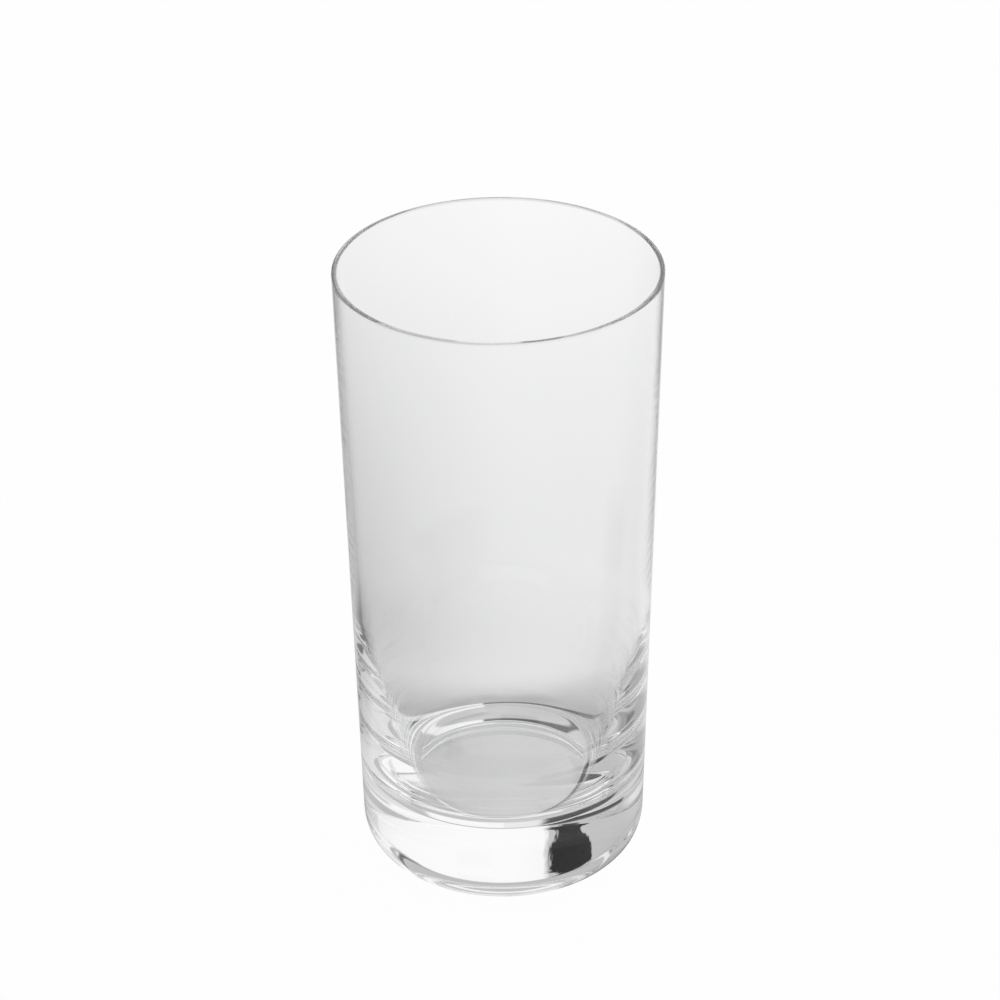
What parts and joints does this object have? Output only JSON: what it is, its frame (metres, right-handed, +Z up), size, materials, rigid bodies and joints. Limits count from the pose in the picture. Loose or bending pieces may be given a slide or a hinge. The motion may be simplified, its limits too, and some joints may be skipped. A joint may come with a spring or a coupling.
{
  "type": "highball glass",
  "caption": "Tall straight-sided clear glass tumbler, slightly wider at the mouth, with a thick solid base and a fire-polished rim, for holding a long drink.",
  "frame": {"origin": "middle of the foot, on the surface that the glass stands on", "axes": "+Z up along the glass's own axis towards the mouth; X and Y are any two level directions at right angles, because the glass is round"},
  "size_m": [0.0644, 0.0644, 0.13],
  "materials": {
    "clear_glass": "clear soda-lime glass, fire-polished, smooth inside and out"
  },
  "bodies": {
    "root": {"tumbler": "clear_glass"}
  },
  "joints": []
}
